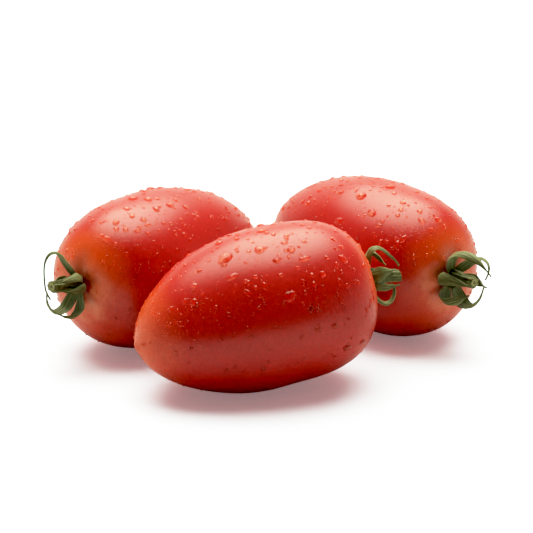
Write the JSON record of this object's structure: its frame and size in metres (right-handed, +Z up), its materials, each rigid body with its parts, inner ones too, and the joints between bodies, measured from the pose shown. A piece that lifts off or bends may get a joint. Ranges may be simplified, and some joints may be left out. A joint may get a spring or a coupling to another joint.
{
  "type": "long salad tomatoes",
  "caption": "Long plum-shaped salad tomatoes lying loosely together on a table, each with a short stem stub and a ring of narrow curled sepals",
  "frame": {"origin": "bottom centre of the whole group, on the table", "axes": "+Z is up from the table; +X runs from the left tomato to the right tomato, along the group's greatest width; -Y is the front, where the front tomato lies"},
  "size_m": [0.1529, 0.1305, 0.0556],
  "materials": {
    "tomato_skin": "thin glossy ripe red skin, wet, faintly speckled",
    "sepal_green": "dull grey-green leaf with a fine down",
    "stem_green": "dull green ridged stem with a pale cut end"
  },
  "bodies": {
    "root": {"front_tomato": "tomato_skin", "front_stem": "stem_green", "front_sepal_1": "sepal_green", "front_sepal_2": "sepal_green", "front_sepal_3": "sepal_green", "front_sepal_4": "sepal_green", "front_sepal_5": "sepal_green", "front_sepal_6": "sepal_green", "left_tomato": "tomato_skin", "left_stem": "stem_green", "left_sepal_1": "sepal_green", "left_sepal_2": "sepal_green", "left_sepal_3": "sepal_green", "left_sepal_4": "sepal_green", "left_sepal_5": "sepal_green", "left_sepal_6": "sepal_green", "right_tomato": "tomato_skin", "right_stem": "stem_green", "right_sepal_1": "sepal_green", "right_sepal_2": "sepal_green", "right_sepal_3": "sepal_green", "right_sepal_4": "sepal_green", "right_sepal_5": "sepal_green", "right_sepal_6": "sepal_green"}
  },
  "joints": []
}
